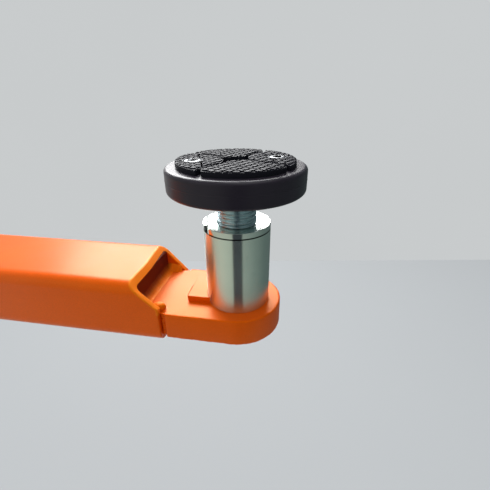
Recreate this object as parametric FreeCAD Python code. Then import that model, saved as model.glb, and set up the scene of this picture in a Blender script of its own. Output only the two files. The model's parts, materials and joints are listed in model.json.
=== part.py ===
# Tip of a vehicle lift's inner extension arm with its screw-adjusted lifting pad.
# Frame: millimetres, +Z up, +X out over the nose of the tongue plate, arm running back along -X.
# Origin: on the axis of the lifting screw, in the plane of the arm's underside.

import FreeCAD
import Part
import math
import os

from FreeCAD import Vector

os.makedirs("parts", exist_ok=True)

# ---- driving dimensions -------------------------------------------------

# arm tube
tube_width = 90.0
tube_height = 65.0
tube_wall = 6.0
tube_corner = 11.0
tube_length = 329.5
bevel_lead = 1.3
bevel_run = 0.90
bevel_skew = -0.081

# tongue plate
plate_thick = 28.0
plate_inset = 2.0
plate_behind_block = 16.4
groove_gap = 4.1
tang_length = 81.5
tang_clear = 0.2
plate_edge_round = 1.2

# closure plate inside the mouth of the tube
closure_set_back = 1.3
closure_thick = 5.0

# stop block beside the sleeve
block_depth = 17.0
block_width = 36.0
block_thick = 6.0
block_gap = 0.1

# lifting screw, nominal thread
thread_dia = 36.0
thread_pitch = 4.0
screw_show = 29.5
screw_reach = 76.5
nose_dia = 24.0
journal_dia = 24.0
journal_below_washer = 2.0
foot_washer_thick = 4.0

# lifting sleeve
sleeve_height = 77.0
sleeve_rim_wall = 5.0
spigot_step = 5.0
bore_room = 4.0
sleeve_edge = 0.6
cap_thick = 3.0
washer_thick = 2.2
clip_thick = 1.8

# threaded bush whose flange is the collar on the sleeve
collar_height = 5.5
bush_length = 39.5
bush_wall = 8.0
flat_depth = 4.9
key_angle = 195.5
key_from = -13.0
key_to = 7.6
key_stand_off = 1.3
key_depth = 5.0
key_pin_dia = 1.6
key_pin_inset = 1.6

# pad
pad_dia = 120.0
pad_wall = 21.6
pad_round_top = 3.3
pad_round_bottom = 3.6
pad_angle = 20.4
tread_height = 5.1
tread_inset = 9.5
block_waist = 7.8
block_nose = 7.8
block_end_in = 5.5
block_end_angle = 50.2
cap_in = 5.6
cap_corner_in = 3.6
cap_end_angle = 45.0
bow_in = 7.0
bow_gap = 3.2
cover_wall = 8.0
disc_thick = 8.0
bolt_dia = 12.0
bolt_inset = 14.5
bolt_head_step = 1.8
bolt_head_drop = 0.4
bolt_socket = 8.0
bushing_rim = 0.7

# rear stop bolt
stop_from_end = 20.0
stop_dia = 12.0
stop_head_af = 18.0
stop_head_height = 7.5

# named clearances
run_clear = 0.05
slide_clear = 0.3
fit_clear = 0.05

# ---- derived levels ------------------------------------------------------

plate_bottom = tube_wall
plate_top = plate_bottom + plate_thick
sleeve_top = plate_top + sleeve_height
collar_top = sleeve_top + collar_height
pad_bottom = collar_top + screw_show
shoulder_z = pad_bottom + pad_wall
tread_top = shoulder_z + tread_height
disc_top = pad_bottom + disc_thick
bush_bottom = collar_top - bush_length
thread_bottom = collar_top - screw_reach
screw_bottom = thread_bottom - foot_washer_thick - journal_below_washer

# ---- derived radii, from the screw outwards -----------------------------------

thread_r = thread_dia / 2
nut_r = thread_r + run_clear
nose_r = nose_dia / 2
journal_r = journal_dia / 2
bush_r = thread_r + bush_wall
bore_r = thread_r + bore_room
sleeve_r = bush_r + sleeve_rim_wall
spigot_r = sleeve_r - spigot_step
pad_r = pad_dia / 2
tread_r = pad_r - tread_inset
disc_r = pad_r - cover_wall
bolt_r = bolt_dia / 2
head_r = bolt_r + bolt_head_step
bushing_r = head_r + bushing_rim
bolt_radius = tread_r - bolt_inset
flank_radius = bolt_radius - block_waist
bow_radius = flank_radius - bow_gap

# ---- derived places along the arm, from the sleeve back -----------------------

block_back_x = -(sleeve_r + block_depth)
plate_shoulder_x = block_back_x - plate_behind_block
tube_end_x = plate_shoulder_x - groove_gap
tube_rear_x = tube_end_x - tube_length
tang_rear_x = tube_end_x - tang_length
bevel_foot_x = tube_end_x + bevel_lead
closure_top_x = bevel_foot_x - bevel_run * (tube_height - tube_wall - plate_top)
closure_front_x = closure_top_x - closure_set_back
stop_x = tube_rear_x + stop_from_end
plate_width = tube_width - 2 * plate_inset


# ---- helpers -------------------------------------------------------------

def cyl(radius, z0, z1, x=0.0, y=0.0):
    """Upright cylinder from z0 to z1."""
    return Part.makeCylinder(radius, z1 - z0, Vector(x, y, z0))


def ring(outer, inner, z0, z1, x=0.0, y=0.0):
    """Upright ring from z0 to z1."""
    return cyl(outer, z0, z1, x, y).cut(cyl(inner, z0 - 1, z1 + 1, x, y))


def box(x0, x1, y0, y1, z0, z1):
    """Box between two corners."""
    return Part.makeBox(x1 - x0, y1 - y0, z1 - z0, Vector(x0, y0, z0))


def cone(r0, r1, z0, z1, x=0.0, y=0.0):
    """Upright cone, radius r0 at z0 and r1 at z1."""
    return Part.makeCone(r0, r1, z1 - z0, Vector(x, y, z0))


def turn(shape, degrees):
    """Copy of a shape turned about the screw's axis."""
    copy = shape.copy()
    copy.rotate(Vector(0, 0, 0), Vector(0, 0, 1), degrees)
    return copy


def revolve(points):
    """Solid of revolution about Z from (radius, z) points."""
    path = [Vector(r, 0, z) for r, z in points]
    path.append(path[0])
    face = Part.Face(Part.makePolygon(path))
    return face.revolve(Vector(0, 0, 0), Vector(0, 0, 1), 360)


def extrude_yz(points, x0, x1):
    """Prism along X from (y, z) points."""
    path = [Vector(x0, y, z) for y, z in points]
    path.append(path[0])
    return Part.Face(Part.makePolygon(path)).extrude(Vector(x1 - x0, 0, 0))


def extrude_xz(points, y0, y1):
    """Prism along Y from (x, z) points."""
    path = [Vector(x, y0, z) for x, z in points]
    path.append(path[0])
    return Part.Face(Part.makePolygon(path)).extrude(Vector(0, y1 - y0, 0))


def rounded_bar(width, z0, z1, corner, x0, x1):
    """Bar along X with four rounded long edges."""
    bar = box(x0, x1, -width / 2, width / 2, z0, z1)
    long_edges = []
    for edge in bar.Edges:
        direction = edge.Vertexes[1].Point.sub(edge.Vertexes[0].Point)
        if abs(direction.x) > 0.9 * edge.Length:
            long_edges.append(edge)
    return bar.makeFillet(corner, long_edges)


def hexagon(across_flats, z0, z1, x=0.0, y=0.0):
    """Upright hexagonal prism."""
    corner = across_flats / math.sqrt(3)
    path = []
    for step in range(7):
        angle = math.radians(60 * step + 30)
        path.append(Vector(x + corner * math.cos(angle), y + corner * math.sin(angle), z0))
    return Part.Face(Part.makePolygon(path)).extrude(Vector(0, 0, z1 - z0))


def one_solid(shape):
    """The shape without splitter edges, as its single largest solid."""
    clean = shape.removeSplitter()
    solids = sorted(clean.Solids, key=lambda s: s.Volume)
    return solids[-1]


def save(name, solids):
    """Write one node's solids to its own file."""
    if not isinstance(solids, list):
        solids = [solids]
    for solid in solids:
        if not solid.isValid():
            print("NOT VALID", name)
    shape = solids[0] if len(solids) == 1 else Part.makeCompound(solids)
    shape.exportStep("parts/" + name + ".step")
    box_now = shape.BoundBox
    print("%-18s %2d solid(s) %10.1f mm3  x %.1f..%.1f y %.1f..%.1f z %.1f..%.1f" % (
        name, len(shape.Solids), shape.Volume, box_now.XMin, box_now.XMax,
        box_now.YMin, box_now.YMax, box_now.ZMin, box_now.ZMax))


# ---- arm tube ------------------------------------------------------------

inner_width = tube_width - 2 * tube_wall
inner_corner = tube_corner - tube_wall
tube_outer = rounded_bar(tube_width, 0, tube_height, tube_corner, tube_rear_x, tube_end_x)
tube_inner = rounded_bar(inner_width, tube_wall, tube_height - tube_wall, inner_corner,
                         tube_rear_x - 10, tube_end_x + 60)

# the mouth is cut back upwards on a plane that also runs slightly askew
bevel_normal = Vector(1.0, -bevel_skew, bevel_run)
bevel_tool = Part.makeBox(300, 600, 600, Vector(0, -300, -300))
bevel_tool.Placement = FreeCAD.Placement(
    Vector(bevel_foot_x, 0, plate_top), FreeCAD.Rotation(Vector(1, 0, 0), bevel_normal))

stop_hole = cyl(stop_dia / 2 + 0.5, tube_height - tube_wall - 8, tube_height + 5, stop_x)
arm_tube = one_solid(tube_outer.cut(tube_inner).cut(bevel_tool).cut(stop_hole))

# ---- tongue plate --------------------------------------------------------

half_plate = plate_width / 2
nose = cyl(half_plate, plate_bottom, plate_top)
straight = box(plate_shoulder_x, 0, -half_plate, half_plate, plate_bottom, plate_top)
blade = one_solid(nose.fuse(straight))
rim_edges = []
for edge in blade.Edges:
    points = [v.Point for v in edge.Vertexes]
    level = all(abs(p.z - points[0].z) < 0.01 for p in points)
    at_shoulder = all(abs(p.x - plate_shoulder_x) < 0.01 for p in points)
    if level and not at_shoulder:
        rim_edges.append(edge)
blade = blade.makeFillet(plate_edge_round, rim_edges)
tang = box(tang_rear_x, plate_shoulder_x + 1, -inner_width / 2 + tang_clear,
           inner_width / 2 - tang_clear, plate_bottom, plate_top)
tang_shape = rounded_bar(inner_width - 2 * tang_clear, plate_bottom, tube_height,
                         inner_corner, tang_rear_x, plate_shoulder_x + 1)
tang = tang.common(tang_shape)
spigot_hole = cyl(spigot_r + fit_clear, plate_bottom - 1, plate_top + 1)
tongue_plate = one_solid(blade.fuse(tang).cut(spigot_hole))

# ---- closure plate and welds --------------------------------------------

closure_blank = box(closure_front_x - closure_thick, closure_front_x, -inner_width,
                    inner_width, plate_top, tube_height)
closure_inner = rounded_bar(inner_width - 0.2, tube_wall, tube_height - tube_wall - 0.1, inner_corner,
                            closure_front_x - 20, closure_front_x + 20)
closure_plate = one_solid(closure_blank.common(closure_inner).cut(bevel_tool))

# fillet weld across the foot of the closure plate and along both tube walls
leg = 8.0
across = extrude_xz([(closure_front_x, plate_top), (closure_front_x, plate_top + leg),
                     (closure_front_x + leg * 0.45, plate_top + leg * 0.42),
                     (closure_front_x + leg, plate_top)], -inner_width / 2, inner_width / 2)
weld_mouth = across
side_leg = 5.0
for side in (-1, 1):
    wall_y = side * inner_width / 2
    run_end = bevel_foot_x + bevel_skew * wall_y - 1.0
    bead = extrude_yz([(wall_y, plate_top), (wall_y, plate_top + side_leg),
                       (wall_y - side * side_leg * 0.45, plate_top + side_leg * 0.42),
                       (wall_y - side * side_leg, plate_top)], closure_front_x, run_end)
    weld_mouth = weld_mouth.fuse(bead)
weld_mouth = one_solid(weld_mouth.cut(bevel_tool))

# groove welds between the tube's end and the shoulders of the plate
groove_recess = 1.2
weld_sides = []
for side in (-1, 1):
    y_deep = side * (inner_width / 2 - tang_clear)
    y_out = side * (half_plate - groove_recess)
    y_mid = side * (half_plate - groove_recess - 1.2)
    x_mid = (tube_end_x + plate_shoulder_x) / 2
    points = [Vector(tube_end_x, y_deep, plate_bottom + 1.5), Vector(tube_end_x, y_out, plate_bottom + 1.5),
              Vector(x_mid, y_mid, plate_bottom + 1.5), Vector(plate_shoulder_x, y_out, plate_bottom + 1.5),
              Vector(plate_shoulder_x, y_deep, plate_bottom + 1.5)]
    points.append(points[0])
    bead = Part.Face(Part.makePolygon(points)).extrude(Vector(0, 0, plate_thick - 3.5))
    weld_sides.append(bead)

# bead under the plate, against the end of the tube's lower wall
under_y = inner_width / 2 - inner_corner
weld_under = extrude_xz([(tube_end_x, plate_bottom), (tube_end_x, 0.8),
                         (tube_end_x + 2.4, 2.6), (tube_end_x + 5.2, plate_bottom)],
                        -under_y, under_y)

# ---- stop block ----------------------------------------------------------

stop_block = box(block_back_x, -10, -block_width / 2, block_width / 2,
                 plate_top, plate_top + block_thick)
stop_block = one_solid(stop_block.cut(cyl(sleeve_r + block_gap, plate_top - 1,
                                          plate_top + block_thick + 1)))
weld_block = extrude_xz([(block_back_x, plate_top), (block_back_x, plate_top + 4.0),
                         (block_back_x - 1.8, plate_top + 1.8),
                         (block_back_x - 4.0, plate_top)],
                        -block_width / 2 + 3, block_width / 2 - 3)

# ---- lifting sleeve ------------------------------------------------------

clip_groove_z = plate_bottom - washer_thick - 0.1 - clip_thick
spigot_chamfer = min(1.0, clip_groove_z - 0.3)
sleeve = revolve([
    (bore_r, 0), (spigot_r - spigot_chamfer, 0), (spigot_r, spigot_chamfer),
    (spigot_r, clip_groove_z), (spigot_r - 1.5, clip_groove_z),
    (spigot_r - 1.5, clip_groove_z + clip_thick), (spigot_r, clip_groove_z + clip_thick),
    (spigot_r, plate_top), (sleeve_r - 0.8, plate_top), (sleeve_r, plate_top + 0.8),
    (sleeve_r, sleeve_top - sleeve_edge), (sleeve_r - sleeve_edge, sleeve_top),
    (bush_r, sleeve_top), (bush_r, bush_bottom), (bore_r, bush_bottom)])

# lock key: stands on the sleeve's rim against the collar's flat, with a pin down into the rim
key_in = sleeve_r - flat_depth + key_stand_off
key_pin_x = sleeve_r - key_pin_inset
key_blank = box(key_in, sleeve_r + 2, key_from, key_to, sleeve_top, collar_top)
key_blank = key_blank.common(cyl(sleeve_r, sleeve_top - 1, collar_top + 1))
key_mid = (key_from + key_to) / 2
key_pin = cyl(key_pin_dia / 2, sleeve_top - key_depth, sleeve_top + 1, key_pin_x, key_mid)
pin_hole = cyl(key_pin_dia / 2, sleeve_top - key_depth, sleeve_top + 1, key_pin_x, key_mid)
lock_key = turn(one_solid(key_blank.fuse(key_pin)), key_angle)
lift_sleeve = one_solid(sleeve.cut(turn(pin_hole, key_angle)))

sleeve_cap = cyl(bore_r - fit_clear, 0, cap_thick)

# ---- threaded bush with collar ------------------------------------------

bush = revolve([
    (nut_r, bush_bottom), (bush_r - fit_clear, bush_bottom), (bush_r - fit_clear, sleeve_top),
    (sleeve_r - sleeve_edge, sleeve_top), (sleeve_r, sleeve_top + sleeve_edge),
    (sleeve_r, collar_top - sleeve_edge), (sleeve_r - sleeve_edge, collar_top),
    (nut_r + 1.2, collar_top), (nut_r, collar_top - 1.2)])
flat_cut = box(sleeve_r - flat_depth, sleeve_r + 5, -30, 30, sleeve_top - 1, collar_top + 1)
threaded_bush = one_solid(bush.cut(turn(flat_cut, key_angle)))

# ---- parts that hold the sleeve down ------------------------------------

plate_washer = ring(spigot_r + 5.0, spigot_r + 0.1, plate_bottom - washer_thick, plate_bottom)
clip_in = spigot_r - 1.4
clip = ring(spigot_r + 3.0, clip_in, clip_groove_z + 0.1, clip_groove_z + clip_thick - 0.1)
clip_gap = box(0, spigot_r + 10, -4, 4, 0, plate_bottom)
sleeve_circlip = one_solid(clip.cut(turn(clip_gap, 90)))

# ---- lifting screw -------------------------------------------------------

groove_z = screw_bottom + 1.0
screw = revolve([
    (0, screw_bottom), (journal_r - 0.8, screw_bottom), (journal_r, screw_bottom + 0.8),
    (journal_r, groove_z), (journal_r - 1.2, groove_z), (journal_r - 1.2, groove_z + 1.0),
    (journal_r, groove_z + 1.0), (journal_r, thread_bottom), (thread_r - 2.0, thread_bottom),
    (thread_r, thread_bottom + 2.0), (thread_r, pad_bottom), (nose_r, pad_bottom),
    (nose_r, disc_top - 1.0), (nose_r - 1.0, disc_top), (0, disc_top)])
lift_screw = screw

foot_top = thread_bottom - 0.02
foot_washer = ring(bore_r - slide_clear, journal_r + run_clear, foot_top - foot_washer_thick + 0.1, foot_top)
foot_clip = ring(journal_r + 2.4, journal_r - 1.1, groove_z + 0.05, groove_z + 0.95)
foot_gap = box(0, journal_r + 8, -3, 3, screw_bottom, thread_bottom)
foot_circlip = one_solid(foot_clip.cut(foot_gap))

# ---- pad -----------------------------------------------------------------

bolt_sites = [(bolt_radius, 0.0), (-bolt_radius, 0.0)]
disc = revolve([(nose_r + fit_clear, pad_bottom), (disc_r - 0.8, pad_bottom), (disc_r, pad_bottom + 0.8),
                (disc_r, disc_top), (nose_r + fit_clear, disc_top)])
for bx, by in bolt_sites:
    disc = disc.cut(cyl(bolt_r, pad_bottom - 1, disc_top + 1, bx, by))
pad_disc = turn(one_solid(disc), pad_angle)

weld_screw = revolve([(thread_r, pad_bottom), (thread_r, pad_bottom - 3.0),
                      (thread_r + 1.3, pad_bottom - 1.3), (thread_r + 3.2, pad_bottom)])

# rubber cover: a puck with rounded rims and a recess for the disc
puck = cyl(pad_r, pad_bottom, shoulder_z)
top_edges = [e for e in puck.Edges if abs(e.Vertexes[0].Point.z - shoulder_z) < 0.01 and len(e.Vertexes) == 1]
puck = puck.makeFillet(pad_round_top, top_edges)
low_edges = [e for e in puck.Edges if abs(e.Vertexes[0].Point.z - pad_bottom) < 0.01 and len(e.Vertexes) == 1]
puck = puck.makeFillet(pad_round_bottom, low_edges)


def upright_corners(solid, radius, near=0.0, far=1000.0):
    """Rounds the upright corners of a block that lie between two distances from the axis."""
    corners = []
    for e in solid.Edges:
        if len(e.Vertexes) == 2:
            a, b = e.Vertexes[0].Point, e.Vertexes[1].Point
            upright = abs(a.x - b.x) < 1e-6 and abs(a.y - b.y) < 1e-6
            if upright and abs(a.y) > 0.5 and near < math.hypot(a.x, a.y) < far:
                corners.append(e)
    return solid.makeFillet(radius, corners)


def prism(points, low, high):
    """Straight prism over an outline given as (x, y) points."""
    loop = [Vector(x, y, low) for x, y in points]
    return Part.Face(Part.makePolygon(loop + loop[:1])).extrude(Vector(0, 0, high - low))


def tread_segments():
    """Raised blocks of the tread, in the pad's own frame, bolts on its X axis: a front and a
    back block between circles round the bolts, a cap outside each bolt, and a bow inside it."""
    z0 = shoulder_z - 1.0
    z1 = tread_top
    outer = cyl(tread_r, z0, z1)
    rim = tread_r - 0.5

    # end of the front and back blocks, from their side's circle out to the rim
    end_x = bolt_radius - block_end_in
    end_y = math.sqrt(flank_radius ** 2 - block_end_in ** 2)
    far_x = tread_r * math.cos(math.radians(block_end_angle))
    far_y = tread_r * math.sin(math.radians(block_end_angle))
    run_x, run_y = far_x - end_x, far_y - end_y
    middle = outer.cut(box(-tread_r - 1, tread_r + 1, -block_nose, block_nose, z0 - 1, z1 + 1))
    for bx, by in bolt_sites:
        middle = middle.cut(cyl(flank_radius, z0 - 1, z1 + 1, bx, by))
        for side in (1, -1):
            beyond = [(end_x - 0.7 * run_x, end_y - 0.7 * run_y), (end_x + 2 * run_x, end_y + 2 * run_y),
                      (end_x + tread_r, end_y + 2 * run_y), (end_x + tread_r, end_y - 0.7 * run_y)]
            middle = middle.cut(prism([(math.copysign(x, bx), y * side) for x, y in beyond],
                                      z0 - 1, z1 + 1))
    blocks = [upright_corners(block, 1.8) for block in middle.Solids]

    # cap outside a bolt
    cap_x = bolt_radius - cap_in
    cap_y = cap_x - cap_corner_in
    edge_x = tread_r * math.cos(math.radians(cap_end_angle))
    edge_y = tread_r * math.sin(math.radians(cap_end_angle))
    out_x, out_y = 2 * edge_x - cap_x, 2 * edge_y - cap_y
    cap = outer.common(prism([(cap_x, -cap_y), (out_x, -out_y), (out_x + tread_r, -out_y),
                              (out_x + tread_r, out_y), (out_x, out_y), (cap_x, cap_y)], z0, z1))
    cap = upright_corners(cap, 3.4, 0.0, rim)
    cap = upright_corners(cap, 2.0, rim)

    # bow inside a bolt: part of a circle round it, cut by a chord
    bow_x = bolt_radius - bow_in
    bow = cyl(bow_radius, z0, z1, bolt_radius, 0)
    bow = bow.common(box(0, bow_x, -bow_radius - 1, bow_radius + 1, z0, z1))
    bow = upright_corners(bow, 2.0)

    for solid in (cap, bow):
        blocks.append(one_solid(solid))
        blocks.append(turn(one_solid(solid), 180))
    return blocks


rubber = puck
for block in tread_segments():
    rubber = rubber.fuse(block)
rubber = rubber.cut(cyl(disc_r + fit_clear, pad_bottom - 1, disc_top))
for bx, by in bolt_sites:
    rubber = rubber.cut(cyl(bushing_r + fit_clear, disc_top - 1, tread_top + 1, bx, by))
pad_rubber = turn(one_solid(rubber), pad_angle)

# countersunk bolts and the steel bushings they pull down on
head_top = tread_top - bolt_head_drop
cone_height = head_r - bolt_r
cone_foot = head_top - 0.8 - cone_height
bolts = []
bushings = []
for bx, by in bolt_sites:
    bolt = cyl(bolt_r - 0.02, pad_bottom + 1, head_top - 1.0, bx, by)
    bolt = bolt.fuse(cone(bolt_r - 0.02, head_r, cone_foot, cone_foot + cone_height, bx, by))
    bolt = bolt.fuse(cyl(head_r, head_top - 0.8, head_top, bx, by))
    bolt = bolt.cut(hexagon(bolt_socket, head_top - 3.6, head_top + 1, bx, by))
    bolts.append(turn(one_solid(bolt), pad_angle))
    bushing = ring(bushing_r, bolt_r + 0.1, disc_top, head_top, bx, by)
    bushing = bushing.cut(cone(bolt_r + 0.1, head_r + 0.1, cone_foot, cone_foot + cone_height, bx, by))
    bushing = bushing.cut(cyl(head_r + 0.1, head_top - 0.8, head_top + 1, bx, by))
    bushings.append(turn(one_solid(bushing), pad_angle))

# ---- rear stop bolt ------------------------------------------------------

stop_r = stop_dia / 2
wall_low = tube_height - tube_wall
stop_washer = ring(stop_head_af / 2 + 3.0, stop_r + 0.5, tube_height, tube_height + 2.0, stop_x)
head_z = tube_height + 2.0
stop_bolt = hexagon(stop_head_af, head_z, head_z + stop_head_height, stop_x)
stop_bolt = stop_bolt.common(cone(stop_head_af, stop_head_af / 2 * 0.98, head_z - 1,
                                  head_z + stop_head_height + 4, stop_x))
stop_bolt = one_solid(stop_bolt.fuse(cyl(stop_r, wall_low - 13, head_z + 1, stop_x)))
stop_nut = hexagon(stop_head_af, wall_low - 10, wall_low, stop_x).cut(
    cyl(stop_r + 0.02, wall_low - 12, wall_low + 2, stop_x))

# ---- write the nodes -----------------------------------------------------

save("arm_tube", arm_tube)
save("tongue_plate", tongue_plate)
save("closure_plate", closure_plate)
save("weld_mouth", weld_mouth)
save("weld_sides", weld_sides)
save("weld_under", weld_under)
save("stop_block", stop_block)
save("weld_block", weld_block)
save("lift_sleeve", lift_sleeve)
save("sleeve_cap", sleeve_cap)
save("threaded_bush", threaded_bush)
save("lock_key", lock_key)
save("plate_washer", plate_washer)
save("sleeve_circlip", sleeve_circlip)
save("lift_screw", lift_screw)
save("foot_washer", foot_washer)
save("foot_circlip", foot_circlip)
save("pad_disc", pad_disc)
save("weld_screw", weld_screw)
save("pad_rubber", pad_rubber)
save("pad_bolts", bolts)
save("bolt_bushings", bushings)
save("stop_bolt", stop_bolt)
save("stop_washer", stop_washer)
save("stop_nut", stop_nut)
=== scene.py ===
import json
import math

import bmesh
import bpy
import numpy as np
from mathutils import Matrix, Vector


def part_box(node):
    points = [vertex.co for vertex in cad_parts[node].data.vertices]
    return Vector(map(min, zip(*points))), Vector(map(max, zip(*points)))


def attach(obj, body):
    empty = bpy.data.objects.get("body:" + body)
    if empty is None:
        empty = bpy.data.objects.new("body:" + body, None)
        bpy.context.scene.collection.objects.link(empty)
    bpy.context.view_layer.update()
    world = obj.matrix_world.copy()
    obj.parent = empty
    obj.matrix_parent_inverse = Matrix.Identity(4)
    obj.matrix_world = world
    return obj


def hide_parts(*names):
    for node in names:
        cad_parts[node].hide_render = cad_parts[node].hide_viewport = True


# Looks of the tip of a vehicle lift's arm: painted tube and tongue plate with their welds,
# zinc-plated sleeve and lifting screw, and the round rubber pad with its raised tread.

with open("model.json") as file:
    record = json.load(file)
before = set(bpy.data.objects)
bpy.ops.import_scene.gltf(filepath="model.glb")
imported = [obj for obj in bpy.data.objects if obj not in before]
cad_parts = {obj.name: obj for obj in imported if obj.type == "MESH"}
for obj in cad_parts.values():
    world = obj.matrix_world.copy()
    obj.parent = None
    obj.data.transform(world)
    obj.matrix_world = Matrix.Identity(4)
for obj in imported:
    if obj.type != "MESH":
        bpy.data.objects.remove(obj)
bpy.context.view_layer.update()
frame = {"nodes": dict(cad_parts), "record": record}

MM = 0.001
TURN = 2 * math.pi


def reach(node):
    """Lowest and highest corner of a CAD node, in millimetres."""
    low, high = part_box(node)
    return np.array(low) / MM, np.array(high) / MM


# ---- shapes ------------------------------------------------------------------

def quads(rows, columns, close_rows=True, close_columns=True):
    """Quads between neighbouring points of a grid, joined over the seams that are closed."""
    r = np.arange(rows if close_rows else rows - 1)[:, None]
    c = np.arange(columns if close_columns else columns - 1)[None, :]
    below, beside = (r + 1) % rows, (c + 1) % columns
    return np.stack([r * columns + c, r * columns + beside,
                     below * columns + beside, below * columns + c], -1).reshape(-1, 4)


def shell(grid, close_rows=True, close_columns=True):
    """A grid of points as one shell: its points, and a list with the array of its quads."""
    rows, columns = grid.shape[:2]
    return grid.reshape(-1, 3), [quads(rows, columns, close_rows, close_columns)]


def soften(profile, radius, steps=4):
    """Rounds an outline's corners: each corner P becomes the curve (1-t)^2 A + 2t(1-t) P + t^2 B,
    where A and B lie on its two sides, the radius away or at most 0.45 of the side."""
    corner = np.asarray(profile, float)
    before, after = np.roll(corner, 1, 0) - corner, np.roll(corner, -1, 0) - corner
    long_before = np.maximum(np.linalg.norm(before, axis=1, keepdims=True), 1e-9)
    long_after = np.maximum(np.linalg.norm(after, axis=1, keepdims=True), 1e-9)
    size = np.broadcast_to(np.asarray(radius, float), (len(corner),))[:, None]
    cut = np.minimum(size, 0.45 * np.minimum(long_before, long_after))
    a, b = corner + before / long_before * cut, corner + after / long_after * cut
    t = np.linspace(0, 1, steps + 1)[None, :, None]
    curve = (1 - t) ** 2 * a[:, None] + 2 * t * (1 - t) * corner[:, None] + t ** 2 * b[:, None]
    return curve.reshape(-1, corner.shape[1])


def turned(profile, columns=192, centre=(0.0, 0.0), radius=None):
    """Surface of revolution: a profile point (r, z) becomes the ring x = cx + r cos a,
    y = cy + r sin a. radius, if given, is a function of (r, z, a) that reshapes the rings."""
    a = np.linspace(0, TURN, columns, endpoint=False)[None, :]
    r, z = profile[:, :1] + 0 * a, profile[:, 1:] + 0 * a
    if radius is not None:
        r = radius(r, z, a)
    return np.stack([centre[0] + r * np.cos(a), centre[1] + r * np.sin(a), z], -1)


def inward(outline):
    """Unit steps into a counter-clockwise outline at each point, square to the line between
    the point's neighbours and lengthened so that both sides keep their distance."""
    ahead = np.roll(outline, -1, 0) - outline
    ahead /= np.maximum(np.linalg.norm(ahead, axis=1, keepdims=True), 1e-9)
    behind = np.roll(ahead, 1, 0)
    left_a, left_b = ahead[:, ::-1] * [-1, 1], behind[:, ::-1] * [-1, 1]
    mean = left_a + left_b
    mean /= np.maximum(np.linalg.norm(mean, axis=1, keepdims=True), 1e-9)
    return mean / np.clip((mean * left_a).sum(1, keepdims=True), 0.5, 1)


def slab(outline, section):
    """A flat piece: each (inset, height) pair of the section is the outline moved inwards by
    the inset, at that height, and the first and last of them are closed by one flat face."""
    steps = inward(outline)
    rows = [np.column_stack([outline + steps * inset, np.full(len(outline), height)])
            for inset, height in section]
    points, faces = shell(np.array(rows), close_rows=False)
    n, last = len(outline), (len(section) - 1) * len(outline)
    return points, faces + [np.arange(n)[None, ::-1], np.arange(last, last + n)[None]]


def arc(centre, radius, start, stop, steps):
    """Points of an arc from start to stop, in degrees."""
    a = np.radians(np.linspace(start, stop, steps))
    return np.column_stack([centre[0] + radius * np.cos(a), centre[1] + radius * np.sin(a)])


def line(a, b, steps):
    """Points from a to b, without b."""
    t = np.linspace(0, 1, steps, endpoint=False)[:, None]
    return np.asarray(a, float) * (1 - t) + np.asarray(b, float) * t


def waver(t, *waves):
    """Sum of sines: each wave is (height, length, shift), t and length in the same unit."""
    return sum(h * np.sin(TURN * t / length + shift) for h, length, shift in waves)


def about(points, degrees):
    """Points turned about the screw's axis."""
    a = math.radians(degrees)
    spin = np.array([[math.cos(a), math.sin(a), 0], [-math.sin(a), math.cos(a), 0], [0, 0, 1]])
    return points @ spin


def signed_volume(corners):
    """Six times the volume under an array of faces, each cut into a fan of triangles a, b, c:
    the sum of a . (b x c), which is negative where the faces look inwards."""
    return sum(np.einsum("ij,ij->", corners[:, 0], np.cross(corners[:, k], corners[:, k + 1]))
               for k in range(1, corners.shape[1] - 1))


def piece(name, shells, body, finish, replaces=(), crease=38):
    """Makes one object from closed shells given in millimetres. A shell is its points and a
    list of face arrays, one for each number of corners. One that comes out inside out, which
    its signed volume tells, has its faces turned. Equal points are merged, and edges bent by
    more than the crease, in degrees, stay sharp."""
    faces, start = [], 0
    for points, groups in shells:
        inside_out = sum(signed_volume(points[group]) for group in groups) < 0
        for group in groups:
            faces += (start + (group[:, ::-1] if inside_out else group)).tolist()
        start += len(points)
    mesh = bpy.data.meshes.new(name)
    mesh.from_pydata(np.concatenate([points for points, _ in shells]) * MM, [], faces)
    work = bmesh.new()
    work.from_mesh(mesh)
    bmesh.ops.remove_doubles(work, verts=work.verts, dist=0.001 * MM)
    bmesh.ops.dissolve_degenerate(work, edges=work.edges, dist=0.0005 * MM)
    work.to_mesh(mesh)
    work.free()
    mesh.validate()
    mesh.polygons.foreach_set("use_smooth", np.ones(len(mesh.polygons), bool))
    mesh.set_sharp_from_angle(angle=math.radians(crease))
    obj = bpy.data.objects.new(name, mesh)
    bpy.context.scene.collection.objects.link(obj)
    mesh.materials.append(finish)
    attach(obj, body)
    if replaces:
        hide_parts(*replaces)
    return obj


# ---- materials ---------------------------------------------------------------

def colour(code, share=1.0):
    """sRGB hex to linear red, green, blue and alpha, the first three times the share."""
    value = np.array([int(code[i:i + 2], 16) / 255 for i in (1, 3, 5)])
    linear = np.where(value <= 0.04045, value / 12.92, ((value + 0.055) / 1.055) ** 2.4)
    return (*(float(v) * share for v in linear), 1.0)


def node(tree, kind, inputs=None, **settings):
    """Adds a node, sets its properties, and sets or links its inputs. A colour Mix takes its
    factor at 0 and its two colours at 6 and 7. A Map Range takes its value at 0, the range
    that goes in at 1 and 2, and the range that comes out at 3 and 4."""
    made = tree.nodes.new("ShaderNode" + kind)
    for key, value in settings.items():
        setattr(made, key, value)
    for key, value in (inputs or {}).items():
        if isinstance(value, bpy.types.NodeSocket):
            tree.links.new(value, made.inputs[key])
        else:
            made.inputs[key].default_value = value
    return made


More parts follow.
